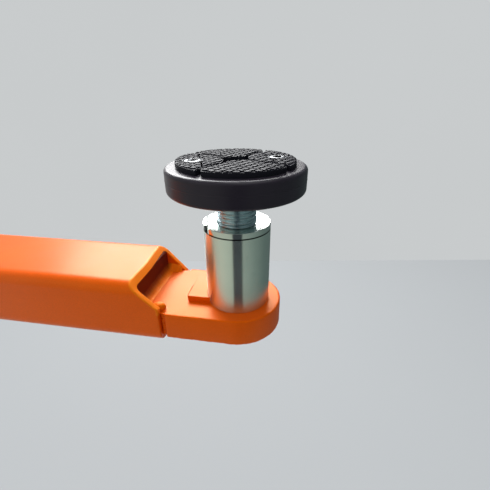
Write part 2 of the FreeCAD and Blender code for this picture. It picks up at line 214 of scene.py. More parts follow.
def finish_of(name, **shader):
    """A new material with one Principled shader. Returns the material, its tree, the shader
    and the object's own coordinates."""
    made = bpy.data.materials.new(name)
    made.use_nodes = True
    tree = made.node_tree
    tree.nodes.clear()
    bsdf = node(tree, "BsdfPrincipled", {key.replace("_", " "): v for key, v in shader.items()})
    node(tree, "OutputMaterial", {"Surface": bsdf.outputs[0]})
    place = node(tree, "TexCoord").outputs["Object"]
    return made, tree, bsdf, place


def paint(name, light, dark, painted_shade_from=None, shine=0.5):
    """Powder coat: orange pigment baked into one glossy film over welded steel. Seen straight
    on the gloss takes the pigment's colour, and at a flat angle it is white. A little uneven
    in depth, with a fine orange peel of about 1.2 mm. Deep in the mouth, behind the x where
    the painted shade starts, the colour fades to a dark brown: painted shade. On sawn edges,
    which the piece marks as cut_edge, the colour is painted lighter and yellower: a painted
    highlight on the rim."""
    made, tree, bsdf, place = finish_of(name, Specular_IOR_Level=shine,
                                        Specular_Tint=colour("#FFC655"))
    cloud = node(tree, "TexNoise", {"Vector": place, "Scale": 22.0, "Detail": 3.0})
    body = node(tree, "Mix", {0: cloud.outputs[0], 6: colour(dark), 7: colour(light)},
                data_type="RGBA")
    speck = node(tree, "TexNoise", {"Vector": place, "Scale": 900.0, "Detail": 2.0})
    speckled = node(tree, "MapRange", {0: speck.outputs[0], 1: 0.3, 2: 0.7, 3: 0.94, 4: 1.04})
    tone = node(tree, "HueSaturation", {"Color": body.outputs[2], "Value": speckled.outputs[0]})
    edge = node(tree, "Attribute", attribute_name="cut_edge").outputs["Fac"]
    # painted highlight: on the sawn rims the colour turns lighter and yellower
    last = node(tree, "Mix", {0: edge, 6: tone.outputs[0], 7: colour("#F57C10")},
                data_type="RGBA").outputs[2]
    # painted shade: deep in the mouth the colour fades to a dark brown
    if painted_shade_from is not None:
        along = node(tree, "SeparateXYZ", {0: place}).outputs[0]
        unshaded = node(tree, "MapRange", {0: along, 1: (painted_shade_from - 0.2) * MM,
                                          2: (painted_shade_from + 7.0) * MM},
                       interpolation_type="SMOOTHSTEP")
        last = node(tree, "Mix", {0: unshaded.outputs[0], 6: colour("#6A2408"), 7: last},
                    data_type="RGBA").outputs[2]
    tree.links.new(last, bsdf.inputs["Base Color"])
    rough = node(tree, "MapRange", {0: cloud.outputs[0], 1: 0.3, 2: 0.7, 3: 0.34, 4: 0.42})
    tree.links.new(rough.outputs[0], bsdf.inputs["Roughness"])
    peel = node(tree, "TexNoise", {"Vector": place, "Scale": 820.0, "Detail": 1.0})
    bump = node(tree, "Bump", {"Height": peel.outputs[0], "Strength": 0.10, "Distance": 0.0002})
    tree.links.new(bump.outputs[0], bsdf.inputs["Normal"])
    return made


def turned_zinc(name, light, dark, rough, wear, stretch, feed_depth=0.03, seam_shade_at=None):
    """Bright zinc plate on turned steel: the lathe's feed leaves rings that stretch each
    reflection across them, and handling leaves a few fine hair scratches. The rings are 0.2 mm
    apart, too fine to show, and are drawn 0.5 mm apart. Within half a millimetre of the given
    seam height the metal is painted near black: painted shade in the seam between sleeve and
    collar."""
    made, tree, bsdf, place = finish_of(name, Metallic=1.0, Anisotropic=stretch)
    normal = node(tree, "NewGeometry").outputs["Normal"]
    round_way = node(tree, "VectorMath", {0: (0, 0, 1), 1: place}, operation="CROSS_PRODUCT")
    across = node(tree, "VectorMath", {0: normal, 1: round_way.outputs[0]},
                  operation="CROSS_PRODUCT")
    tree.links.new(across.outputs[0], bsdf.inputs["Tangent"])
    rings = node(tree, "Mapping", {"Vector": place, "Scale": (18.0, 18.0, 1900.0)})
    feed = node(tree, "TexNoise", {"Vector": rings.outputs[0], "Scale": 1.0, "Detail": 2.0})
    cloud = node(tree, "TexNoise", {"Vector": place, "Scale": 45.0, "Detail": 3.0})
    tone = node(tree, "Mix", {0: cloud.outputs[0], 6: colour(dark), 7: colour(light)},
                data_type="RGBA")
    slant = node(tree, "Mapping", {"Vector": place, "Scale": (60.0, 60.0, 210.0),
                                   "Rotation": (0.5, 0.3, 0.2)})
    hair = node(tree, "TexVoronoi", {"Vector": slant.outputs[0], "Scale": 1.0},
                feature="DISTANCE_TO_EDGE")
    thin = node(tree, "MapRange", {0: hair.outputs[0], 1: 0.0, 2: 0.008, 3: 1.0, 4: 0.0})
    rare = node(tree, "TexNoise", {"Vector": place, "Scale": 70.0, "Detail": 1.0})
    some = node(tree, "MapRange", {0: rare.outputs[0], 1: 0.60, 2: 0.68, 3: 0.0, 4: wear})
    marks = node(tree, "Math", {0: thin.outputs[0], 1: some.outputs[0]}, operation="MULTIPLY")
    marked = node(tree, "Mix", {0: marks.outputs[0], 6: tone.outputs[2], 7: colour("#5F6362")},
                  data_type="RGBA")
    last = marked.outputs[2]
    # painted shade: a near-black band along the seam between sleeve and collar
    if seam_shade_at is not None:
        height = node(tree, "SeparateXYZ", {0: place}).outputs[2]
        off = node(tree, "Math", {0: height, 1: seam_shade_at * MM}, operation="SUBTRACT")
        away = node(tree, "Math", {0: off.outputs[0]}, operation="ABSOLUTE")
        off_seam = node(tree, "MapRange", {0: away.outputs[0], 1: 0.5 * MM, 2: 0.72 * MM})
        last = node(tree, "Mix", {0: off_seam.outputs[0], 6: colour("#20241F"), 7: last},
                    data_type="RGBA").outputs[2]
    tree.links.new(last, bsdf.inputs["Base Color"])
    swing = 3 * feed_depth
    gloss = node(tree, "MapRange", {0: feed.outputs[0], 1: 0.3, 2: 0.7,
                                    3: rough * (1 - swing), 4: rough * (1 + swing)})
    tree.links.new(gloss.outputs[0], bsdf.inputs["Roughness"])
    bump = node(tree, "Bump", {"Height": feed.outputs[0], "Strength": feed_depth,
                               "Distance": 0.0001})
    tree.links.new(bump.outputs[0], bsdf.inputs["Normal"])
    return made


def rubber(name, dark, dusty, rough, film_share, shine):
    """Moulded black rubber: carbon-black compound with the satin skin of the mould, a fine
    grain of 0.7 mm and a thin film of grey dust that gathers on what faces upwards."""
    made, tree, bsdf, place = finish_of(name, Specular_IOR_Level=shine)
    grain = node(tree, "TexNoise", {"Vector": place, "Scale": 1500.0, "Detail": 2.0})
    cloud = node(tree, "TexNoise", {"Vector": place, "Scale": 60.0, "Detail": 4.0})
    up = node(tree, "SeparateXYZ", {0: node(tree, "NewGeometry").outputs["Normal"]})
    dust = node(tree, "MapRange", {0: up.outputs[2], 1: 0.3, 2: 1.0, 3: 0.0, 4: film_share})
    film = node(tree, "Math", {0: dust.outputs[0], 1: cloud.outputs[0]}, operation="MULTIPLY")
    tone = node(tree, "Mix", {0: film.outputs[0], 6: colour(dark), 7: colour(dusty)},
                data_type="RGBA")
    tree.links.new(tone.outputs[2], bsdf.inputs["Base Color"])
    gloss = node(tree, "MapRange", {0: cloud.outputs[0], 1: 0.3, 2: 0.7,
                                    3: rough * 0.85, 4: rough * 1.15})
    tree.links.new(gloss.outputs[0], bsdf.inputs["Roughness"])
    bump = node(tree, "Bump", {"Height": grain.outputs[0], "Strength": 0.05,
                               "Distance": 0.0001})
    tree.links.new(bump.outputs[0], bsdf.inputs["Normal"])
    return made


def bare_steel(name, light, dark, rough):
    """Machined or oiled steel left bare: tool marks that mottle the gloss, and patches of
    grease and rubber dust 4 mm across between the rubbed ones."""
    made, tree, bsdf, place = finish_of(name, Metallic=1.0)
    cloud = node(tree, "TexNoise", {"Vector": place, "Scale": 260.0, "Detail": 4.0})
    rubbed = node(tree, "MapRange", {0: cloud.outputs[0], 1: 0.46, 2: 0.58})
    tone = node(tree, "Mix", {0: rubbed.outputs[0], 6: colour(dark), 7: colour(light)},
                data_type="RGBA")
    tree.links.new(tone.outputs[2], bsdf.inputs["Base Color"])
    gloss = node(tree, "MapRange", {0: cloud.outputs[0], 1: 0.3, 2: 0.7,
                                    3: rough * 0.75, 4: rough * 1.3})
    tree.links.new(gloss.outputs[0], bsdf.inputs["Roughness"])
    bump = node(tree, "Bump", {"Height": cloud.outputs[0], "Strength": 0.05,
                               "Distance": 0.0001})
    tree.links.new(bump.outputs[0], bsdf.inputs["Normal"])
    return made


powder_coat = paint("powder_coat_orange", "#EF5E00", "#E55500")
# painted shade: a dark orange-brown coat for the closure deep in the mouth
painted_shade_coat = paint("powder_coat_darkened_as_painted_shade", "#6A2010", "#4A1614", shine=0.12)
seam_height = reach("lift_sleeve")[1][2]
sleeve_zinc = turned_zinc("bright_zinc_turned", "#E3ECE2", "#D6E0D7", 0.26, 0.9, 0.97, 0.004,
                          seam_height)
collar_zinc = turned_zinc("bright_zinc_faced", "#DDE3DC", "#D0D8D2", 0.17, 0.2, 0.8, 0.006,
                          seam_height)
screw_zinc = turned_zinc("blue_zinc_rolled_thread", "#CBDDE4", "#A9C2CB", 0.27, 0.2, 0.4, 0.01)
small_zinc = turned_zinc("zinc_small_parts", "#C3C8C8", "#AEB4B5", 0.28, 0.2, 0.6)
black_rubber = rubber("moulded_black_rubber", "#28232D", "#46464F", 0.34, 0.2, 0.23)
tread_rubber = rubber("worn_rubber_tread", "#1E1E25", "#4A4B54", 0.42, 0.22, 0.03)
bolt_steel = bare_steel("bright_machined_steel", "#A9ACB0", "#2C2E31", 0.34)
spring_steel = bare_steel("oiled_spring_steel", "#3A3A3D", "#242426", 0.38)
# a dark, dull steel for the bushings' rims
dark_dull_rim_steel = bare_steel("dark_dull_steel_rim", "#55585C", "#1E1F22", 0.45)

for name, own in frame["nodes"].items():
    slot_name = next((p["material_slot"] for p in frame["record"]["subparts"]
                      if p["node"] == name), "zinc_small")
    own.data.materials.clear()
    own.data.materials.append({"arm_paint": powder_coat, "zinc_sleeve": sleeve_zinc,
                               "zinc_screw": screw_zinc, "zinc_small": small_zinc,
                               "spring_steel": spring_steel, "bolt_steel": bolt_steel,
                               "pad_rubber": black_rubber}[slot_name])

# the closure sits deep in the mouth and gets a dark orange-brown coat: painted shade.
# The bushings' rims get a dark, dull steel
for name, finish in (("closure_plate", painted_shade_coat), ("bolt_bushings", dark_dull_rim_steel)):
    own = frame["nodes"][name].data
    own.materials.clear()
    own.materials.append(finish)

# ---- arm tube ----------------------------------------------------------------

tube_low, tube_high = reach("arm_tube")
plate_low, plate_high = reach("tongue_plate")
wall = plate_low[2]
plate_top = plate_high[2]
tube_corner = 11.0
mouth_lead, mouth_lean, mouth_skew = 1.3, 0.9, 0.081


def tube_outline(inset):
    """Rounded rectangle (y, z) of the tube, moved inwards by the inset, counter-clockwise,
    with points close together on the side walls, where the mouth's cut turns."""
    half, low, high = tube_high[1] - inset, inset, tube_high[2] - inset
    r = max(tube_corner - inset, 0.5)
    return np.concatenate([
        line((-half + r, low), (half - r, low), 12), arc((half - r, low + r), r, -90, 0, 9)[:-1],
        line((half, low + r), (half, high - r), 60), arc((half - r, high - r), r, 0, 90, 9)[:-1],
        line((half - r, high), (-half + r, high), 24),
        arc((-half + r, high - r), r, 90, 180, 9)[:-1],
        line((-half, high - r), (-half, low + r), 60),
        arc((-half + r, low + r), r, 180, 270, 9)[:-1]])


def mouth_x(y, z):
    """Where the tube ends: square at its foot, and above the plate on a plane that leans back
    by mouth_lean per mm of height and runs askew by mouth_skew per mm of width. The cut strayed
    a further 3.4 mm back at one upper corner."""
    stray = 3.4 * np.clip((-y - 5) / 34, 0, 1) * np.clip((z - 40) / 20, 0, 1)
    cut = tube_high[0] + mouth_lead - mouth_lean * (z - plate_top) - mouth_skew * y - stray
    return np.minimum(tube_high[0], cut)


def tube():
    """The tube's outer and inner walls as rings of the outline: (inset, setback) pairs round
    off the sawn rims, and the setback wavers by a few tenths as a ground edge does."""
    front = [(0, 60), (0, 3.0), (0, 1.5), (0.10, 0.75), (0.36, 0.28), (0.75, 0.06), (1.2, 0),
             (4.9, 0), (5.35, 0.08), (5.7, 0.3), (5.92, 0.8), (6.0, 1.5), (6.0, 3.0), (6.0, 60)]
    rear = [(6.0, 0.8), (5.8, 0.2), (5.2, 0), (0.8, 0), (0.2, 0.2), (0, 0.8)]
    rings = []
    for inset, setback in front:
        yz = tube_outline(inset)
        u = np.linspace(0, 300, len(yz), endpoint=False)
        rough = waver(u, (0.10, 17, 0.4), (0.07, 7.3, 1.9), (0.05, 3.9, 0.8)) * (0 < inset < 6)
        rings.append(np.column_stack([mouth_x(*yz.T) - setback - np.abs(rough), yz]))
    for inset, setback in rear:
        yz = tube_outline(inset)
        rings.append(np.column_stack([np.full(len(yz), tube_low[0] + setback), yz]))
    return shell(np.array(rings))


def mark_cut_edge(obj):
    """Writes 1 on the piece's points within 1.2 mm of the sawn mouth above the plate, and 0 on
    the others, fading over a further millimetre."""
    place = np.empty(3 * len(obj.data.vertices))
    obj.data.vertices.foreach_get("co", place)
    x, y, z = place.reshape(-1, 3).T / MM
    near = np.clip(2.2 - (mouth_x(y, z) - x), 0, 1) * np.clip(z - plate_top + 1, 0, 1)
    obj.data.attributes.new("cut_edge", "FLOAT", "POINT").data.foreach_set("value", near)


mark_cut_edge(piece("arm_tube_painted", [tube()], "arm", powder_coat, ["arm_tube"],
                    crease=25))

# ---- tongue plate ------------------------------------------------------------

sleeve_high = reach("lift_sleeve")[1]
sleeve_r = sleeve_high[0]
spigot_r = sleeve_r - 5.0
shoulder_x = reach("weld_sides")[1][0]
tang_y = tube_high[1] - wall - 0.2
plate_half = tube_high[1] - 2.0
shoulder_round = 2.5


def plate():
    """The plate's outline seen from above is carried round a section with rounded edges, and
    its flat faces run in from there to the spigot's hole. The flame-cut rim wavers a little."""
    round_x, round_y = shoulder_x + shoulder_round, plate_half - shoulder_round
    side = np.concatenate([arc((0, 0), plate_half, 0, 90, 61)[:-1],
                           line((0, plate_half), (round_x, plate_half), 24),
                           arc((round_x, round_y), shoulder_round, 90, 180, 8)[:-1],
                           line((shoulder_x, round_y), (shoulder_x, tang_y), 3),
                           line((shoulder_x, tang_y), (plate_low[0], tang_y), 10),
                           line((plate_low[0], tang_y), (plate_low[0], 0), 10),
                           [[plate_low[0], 0]]])
    outline = np.concatenate([side, side[1:-1][::-1] * [1, -1]])
    steps = inward(outline)
    u = np.cumsum(np.linalg.norm(np.roll(outline, -1, 0) - outline, axis=1))
    size = 1.5 + waver(u, (0.22, 23, 0.2), (0.16, 9.1, 1.1), (0.10, 4.7, 2.3))
    polar = np.arctan2(outline[:, 1], outline[:, 0])
    hole = np.column_stack([np.cos(polar), np.sin(polar)]) * (spigot_r + 0.05)
    bend = np.radians([90, 65, 40, 18, 0])
    below = [np.column_stack([outline + steps * ((1 - np.cos(a)) * size)[:, None],
                              plate_low[2] + (1 - np.sin(a)) * size]) for a in bend]
    above = [np.column_stack([outline + steps * ((1 - np.cos(a)) * size)[:, None],
                              plate_top - (1 - np.sin(a)) * size]) for a in bend[::-1]]
    ends = [np.column_stack([flat, np.full(len(outline), height)]) for flat, height in
            ((hole, plate_low[2]), (outline + steps * (size[:, None] + 0.7), plate_top),
             (hole, plate_top))]
    return shell(np.array([ends[0], *below, *above, *ends[1:]]))


piece("tongue_plate_painted", [plate()], "arm", powder_coat, ["tongue_plate"])

# ---- stop block and its weld -------------------------------------------------

block_low, block_high = reach("stop_block")


def block():
    """Flat bar lying on the plate, its front cut to the sleeve's curve, edges rubbed round."""
    half, x0, r = block_high[1], block_low[0], sleeve_r + 0.1
    turn = math.degrees(math.asin(half / r))
    outline = np.concatenate([line((x0, -half), (-r * math.cos(math.radians(turn)), -half), 8),
                              arc((0, 0), r, 180 + turn, 180 - turn, 25),
                              line((x0, half), (x0, -half), 14)])
    top = block_high[2]
    return slab(outline, [(0, block_low[2]), (0, top - 0.4), (0.06, top - 0.16),
                          (0.16, top - 0.06), (0.4, top), (0.7, top)])


piece("stop_block_painted", [block()], "arm", powder_coat, ["stop_block"])

# ---- weld beads --------------------------------------------------------------

closure_x = reach("closure_plate")[1][0]


def bead(path, into, size, ripple=2.8, swing=0.045, hollow=0.0):
    """Fillet weld: at each point of the path a section turns from the first surface (flat,
    along into) to the second (upright), bulging by a tenth, and its leg swells with each
    ripple. Where hollow is 1 the section follows cos^2.8 and sin^2.8, which sag below the
    straight line."""
    run = np.concatenate([[0], np.cumsum(np.linalg.norm(np.diff(path, axis=0), axis=1))])
    leg = size * (1 + waver(run, (swing, ripple, 0), (0.03, ripple * 3.7, 1.3)))
    a = np.radians(np.linspace(0, 90, 9))
    swell = 1.12 / (np.cos(a) + np.sin(a)) * (1 + 0.10 * np.sin(2 * a))
    sag = np.broadcast_to(np.asarray(hollow, float), leg.shape)[:, None]
    flat_way = (1 - sag) * np.cos(a) * swell + sag * np.abs(np.cos(a)) ** 2.8
    steep_way = (1 - sag) * np.sin(a) * swell + sag * np.abs(np.sin(a)) ** 2.8
    steep_way[:, 0] = -0.02
    edge = np.ones((len(leg), 1))
    across = np.hstack([-0.12 * edge, flat_way, -0.12 * edge]) * leg[:, None]
    up = np.hstack([-0.06 * edge, steep_way, 0.9 * edge]) * leg[:, None]
    rings = (path[:, None] + into[:, None] * across[..., None]
             + np.array([0, 0, 1]) * up[..., None])
    rings = np.concatenate([rings[:1].mean(1, keepdims=True) + 0 * rings[:1], rings,
                            rings[-1:].mean(1, keepdims=True) + 0 * rings[-1:]])
    return shell(rings, close_rows=False)


def mouth_bead():
    """Runs from one rim of the mouth back along the wall, across the closure plate's foot and
    out along the other wall, thicker across than along, with a swollen start and stop."""
    half, bend = tube_high[1] - wall, 7
    out = [float(mouth_x(s * half, plate_top + 3)) - 0.5 for s in (-1, 1)]
    bent, side = closure_x + bend, half - bend
    run = np.concatenate([line((out[0], -half), (bent, -half), 26),
                          arc((bent, -side), bend, 270, 180, 12)[:-1],
                          line((closure_x, -side), (closure_x, side), 60),
                          arc((bent, side), bend, 180, 90, 12)[:-1],
                          line((bent, half), (out[1], half), 26)])
    ahead = np.gradient(run, axis=0)
    ahead /= np.linalg.norm(ahead, axis=1, keepdims=True)
    into = np.column_stack([-ahead[:, 1], ahead[:, 0]])
    into *= np.sign((into * (np.array([closure_x + 60, 0]) - run)).sum(1, keepdims=True))
    share = np.linspace(0, 1, len(run))
    across = np.exp(-((share - 0.5) / 0.31) ** 6)
    ends = np.exp(-(share / 0.03) ** 2) + np.exp(-((1 - share) / 0.03) ** 2)
    size = 6.0 + 2.2 * across - 1.6 * ends
    lift = np.full((len(run), 1), plate_top)
    return bead(np.hstack([run, lift]), np.column_stack([into, 0 * share]), size, 4.4, 0.012,
                across)


def blob(centre, size):
    """Where the welder stopped and filled up: a squashed ball, its radius wavering a little."""
    a = np.linspace(0, TURN, 32, endpoint=False)[None]
    b = np.radians(np.linspace(-90, 90, 17))[:, None]
    swell = 1 + 0.06 * np.sin(2 * a + 0.7) * np.cos(b) + 0.04 * np.sin(3 * a) * np.cos(b)
    ball = np.stack([np.cos(a) * np.cos(b) * swell, np.sin(a) * np.cos(b) * swell,
                     np.sin(b) + 0 * a], -1)
    return shell(np.array(centre) + np.array(size) * ball, close_rows=False)


def groove_bead(side):
    """Upright weld in the groove between the tube's end and the plate's shoulder: a rippled
    round column that leaves the groove's edges showing."""
    low, high = reach("weld_sides")
    z = np.linspace(low[2], high[2] + 1.5, 60)
    centre = np.array([(low[0] + high[0]) / 2, side * (high[1] - 3.4)])
    radius = 2.35 * (1 + waver(z, (0.07, 2.9, 0), (0.05, 7.7, 1)))
    radius[0] = radius[-1] = 0
    a = np.linspace(0, TURN, 20, endpoint=False)
    lean = np.column_stack([waver(z, (0.25, 13, 0.5)), 0 * z])
    ring = np.stack([np.cos(a), np.sin(a)], -1)
    xy = centre + lean[:, None] + ring[None] * radius[:, None, None]
    return shell(np.concatenate([xy, np.broadcast_to(z[:, None, None], (60, 20, 1))], -1),
                 close_rows=False)


def block_bead():
    """Small fillet along the back of the stop block."""
    low, high = reach("weld_block")
    y = np.linspace(low[1], high[1], 50)
    path = np.column_stack([0 * y + high[0], y, 0 * y + plate_top])
    into = np.column_stack([0 * y - 1, 0 * y, 0 * y])
    return bead(path, into, 3.4 * np.clip((high[1] - np.abs(y)) / 5, 0.1, 1))


near_rim = float(mouth_x(plate_low[1], plate_top + 3))
weld_end = blob((near_rim - 3.6, -tube_high[1] + wall + 5.2, plate_top + 1.8), (6.4, 5.4, 4.4))
# the weld's coat fades to dark brown towards the closure's face: painted shade in the corner
mouth_coat = paint("powder_coat_at_the_mouth_weld", "#F47A0C", "#EC6C08", closure_x, 0.38)
piece("mouth_weld", [mouth_bead(), weld_end], "arm", mouth_coat, ["weld_mouth"],
      crease=60)
piece("groove_welds", [groove_bead(-1), groove_bead(1)], "arm", powder_coat,
      ["weld_sides"], crease=60)
piece("block_weld", [block_bead()], "arm", powder_coat, ["weld_block"], crease=60)

# ---- lifting sleeve ----------------------------------------------------------

bush_low, bush_high = reach("threaded_bush")
screw_low, screw_high = reach("lift_screw")
pad_low, pad_high = reach("pad_rubber")
disc_low, disc_high = reach("pad_disc")
thread_r = screw_high[0]
bush_r = thread_r + 8.0
bore_r = thread_r + 4.0
collar_top, sleeve_top, bush_bottom = bush_high[2], sleeve_high[2], bush_low[2]
pitch = 4.0
thread_gap = 0.12
relief_r, relief_depth = thread_r + 1.1, 3.1
flat_r, key_turn = sleeve_r - 4.9, 195.5


def sleeve():
    """Turned tube with a stepped spigot, a clip groove near its foot and a small broken edge
    at its rim."""
    foot = [(bore_r, 0), (spigot_r, 0), (spigot_r, 1.9), (spigot_r - 1.5, 1.9),
            (spigot_r - 1.5, 3.7), (spigot_r, 3.7), (spigot_r, plate_top),
            (sleeve_r, plate_top), (sleeve_r, sleeve_top - 0.25), (bush_r, sleeve_top - 0.25),
            (bush_r, bush_bottom), (bore_r, bush_bottom)]
    size = [0.2, 0.9, 0.1, 0, 0, 0.1, 0, 0.8, 0.4, 0.05, 0.05, 0.2]
    return shell(turned(soften(foot, size, 4), 240))


piece("sleeve_turned", [sleeve()], "arm", sleeve_zinc, ["lift_sleeve"])


def thread(angle, height):
    """0 at the root and 1 at the crest of a right-hand round thread: the height less the turn's
    share of the pitch gives a triangle wave t, eased by t^2 (3 - 2t)."""
    t = np.abs(2 * ((height / pitch - angle / TURN) % 1.0) - 1)
    return t ** 2 * (3 - 2 * t)


thread_depth = 0.40 * pitch


def threaded_bush():
    """The collar is a turned flange with one flat beside the lock key: a point at the angle b
    from the flat's middle keeps within flat_r / cos b. Below the collar the body fills the
    sleeve, and the bore is wider for 3 mm and then carries the female thread, thread_gap clear
    of the screw's."""
    rise = np.arange(bush_bottom + 1.5, collar_top - relief_depth - 0.1, 0.25)
    bore = np.column_stack([np.full(len(rise), thread_r + thread_gap), rise])
    outer = soften([(bush_r - 0.05, bush_bottom), (bush_r - 0.05, sleeve_top + 0.25),
                    (sleeve_r, sleeve_top + 0.25), (sleeve_r, collar_top),
                    (relief_r, collar_top), (relief_r, collar_top - relief_depth)],
                   [0.5, 0, 0.4, 0.45, 0.1, 0], 4)
    profile = np.concatenate([bore[::-1], [(thread_r + 1.0, bush_bottom)], outer])

    def shape(r, z, a):
        """Cuts the flange back to its flat, and the thread into the bore."""
        off = (a - math.radians(key_turn) + math.pi) % TURN - math.pi
        flat = flat_r / np.maximum(np.cos(off), 0.3)
        in_bore = np.abs(r - thread_r - thread_gap) < 1e-6
        cut = r - in_bore * thread_depth * (1 - thread(a, z))
        return np.where(r > bush_r + 0.2, np.minimum(cut, np.maximum(flat, bush_r)), cut)

    return shell(turned(profile, 240, radius=shape))


piece("threaded_bush_turned", [threaded_bush()], "arm", collar_zinc,
      ["threaded_bush"])

# ---- lifting screw -----------------------------------------------------------

def screw():
    """Thread from the foot's chamfer up to a run-out under the pad's disc, a journal with a clip
    groove below it, and a plain nose in the disc above."""
    foot, top = screw_low[2], screw_high[2]
    start, under = foot + 6.0, disc_low[2]
    journal = nose = 12.0
    below = soften([(0, foot), (journal, foot), (journal, foot + 1), (journal - 1.2, foot + 1),
                    (journal - 1.2, foot + 2), (journal, foot + 2), (journal, start)],
                   [0, 0.8, 0, 0, 0, 0, 0], 3)
    rise = np.arange(start, under - 0.2, 0.2)
    cut = np.column_stack([np.minimum(thread_r, thread_r - 2.0 + rise - start), rise])
    above = soften([(thread_r, under), (nose, under), (nose, top), (0, top)], [0, 0, 1, 0], 3)
    profile = np.concatenate([below, cut, above])

    def shape(r, z, a):
        """Cuts the thread into the shaft, fading out over 2.4 mm below the disc."""
        fade = np.clip((under - 2.6 - z) / 2.4, 0, 1) * ((z >= start) & (r > nose + 0.5))
        root = thread_r - thread_depth * (1 - thread(a, z)) * fade
        return np.where((z >= start) & (z < under) & (r > nose + 0.5), np.minimum(r, root), r)

    return shell(turned(profile, 120, radius=shape), close_rows=False)


piece("lifting_screw_threaded", [screw()], "screw", screw_zinc, ["lift_screw"],
      crease=50)

# ---- pad ---------------------------------------------------------------------

pad_turn = 20.4
disc_r = (disc_high[0] - disc_low[0]) / 2
pad_r = disc_r + 8.0
tread_r = pad_r - 9.5
bolt_x = tread_r - 14.5
tread_top = pad_high[2]
shoulder_z = tread_top - 5.1
stud_height = 1.0


def puck():
    """The cover without its tread: rounded rims, a mould's parting line a tenth of a
    millimetre proud at mid-height, and the recess that the steel disc fills from below."""
    low, middle = pad_low[2], (pad_low[2] + shoulder_z) / 2 + 0.5
    quarter = np.radians(np.linspace(0, 90, 9))
    edge, foot = 3.3, 3.4
    bottom = np.column_stack([pad_r - foot + foot * np.sin(quarter),
                              low + foot - foot * np.cos(quarter)])
    top = np.column_stack([pad_r - edge + edge * np.cos(quarter),
                           shoulder_z - edge + edge * np.sin(quarter)])
    ridge = [(pad_r, low + foot + 0.4), (pad_r, middle - 0.7), (pad_r, middle - 0.3),
             (pad_r + 0.14, middle - 0.08), (pad_r + 0.14, middle + 0.08), (pad_r, middle + 0.3),
             (pad_r, middle + 0.7), (pad_r, shoulder_z - edge - 0.4)]
    recess = [(0, disc_high[2]), (disc_r + 0.05, disc_high[2]), (disc_r + 0.05, low)]
    ledge = [(r, shoulder_z) for r in (pad_r - edge - 0.4, tread_r + 2.5, tread_r - 1, 0)]
    profile = np.concatenate([recess, bottom, ridge, top, ledge])
    return shell(turned(profile, 240), close_rows=False)


def rounded(outline, step, blur):
    """A closed outline in even steps, its corners rounded by averaging each point with its
    neighbours under a bell curve of the given width, both in millimetres."""
    loop = np.concatenate([outline, outline[:1]])
    run = np.concatenate([[0], np.cumsum(np.linalg.norm(np.diff(loop, axis=0), axis=1))])
    count = int(run[-1] / step)
    at = np.linspace(0, run[-1], count, endpoint=False)
    even = np.column_stack([np.interp(at, run, loop[:, k]) for k in (0, 1)])
    most = int(4 * blur / step) + 1
    shift = np.arange(-most, most + 1)
    weight = np.exp(-0.5 * (shift * step / blur) ** 2)
    weight /= weight.sum()
    return sum(w * np.roll(even, k, 0) for w, k in zip(weight, shift))


def tread_outlines():
    """Outlines of the six raised blocks in the pad's own frame, its bolts on the X axis. A front
    and a back block reach to the middle between circles round the bolts, a cap lies outside
    each bolt, and a bow between each cap and the middle is a circle's piece cut by a chord."""
    flank, flank_end, tip_y, block_end = 28.2, 30.5, 7.8, 50.2
    start = math.degrees(math.asin(tip_y / flank))
    stop = math.degrees(math.acos((bolt_x - flank_end) / flank))
    right = arc((bolt_x, 0), flank, 180 - start, 180 - stop, 40)
    back = np.concatenate([arc((0, 0), tread_r, block_end, 180 - block_end, 90),
                           (right * [-1, 1])[::-1], right])
    hole, side, slit, cap_end, corner_in = 8.9, 29.0, 1.4, 45.0, 3.6
    low = side + slit
    open_y = math.sqrt(hole ** 2 - (bolt_x - low) ** 2)
    turn = 180 - math.degrees(math.asin(open_y / hole))
    corner_y = low * math.tan(math.radians(cap_end)) - corner_in
    cap = np.concatenate([arc((0, 0), tread_r, -cap_end, cap_end, 100),
                          [(low, corner_y), (low, open_y)],
                          arc((bolt_x, 0), hole, turn, -turn, 60),
                          [(low, -open_y), (low, -corner_y)]])
    bow = 25.0
    half = math.degrees(math.acos((bolt_x - side) / bow))
    notch = math.degrees(math.acos((bolt_x - side) / hole))
    bowed = np.concatenate([arc((bolt_x, 0), bow, 180 - half, 180 + half, 60),
                            arc((bolt_x, 0), hole, 180 + notch, 180 - notch, 30)])
    return [sign * rounded(outline, step, 1.1)
            for outline, step in ((back, 0.8), (cap, 0.7), (bowed, 0.7)) for sign in (1, -1)]


def within(points, outline):
    """Whether each point lies inside the outline: the line from it towards +x crosses the
    outline an odd number of times."""
    x, y = points[..., 0, None], points[..., 1, None]
    ax, ay = outline.T
    bx, by = np.roll(outline, -1, 0).T
    crosses = (ay > y) != (by > y)
    at = ax + (y - ay) * (bx - ax) / np.where(by == ay, 1e-9, by - ay)
    return (crosses & (x < at)).sum(-1) % 2 == 1


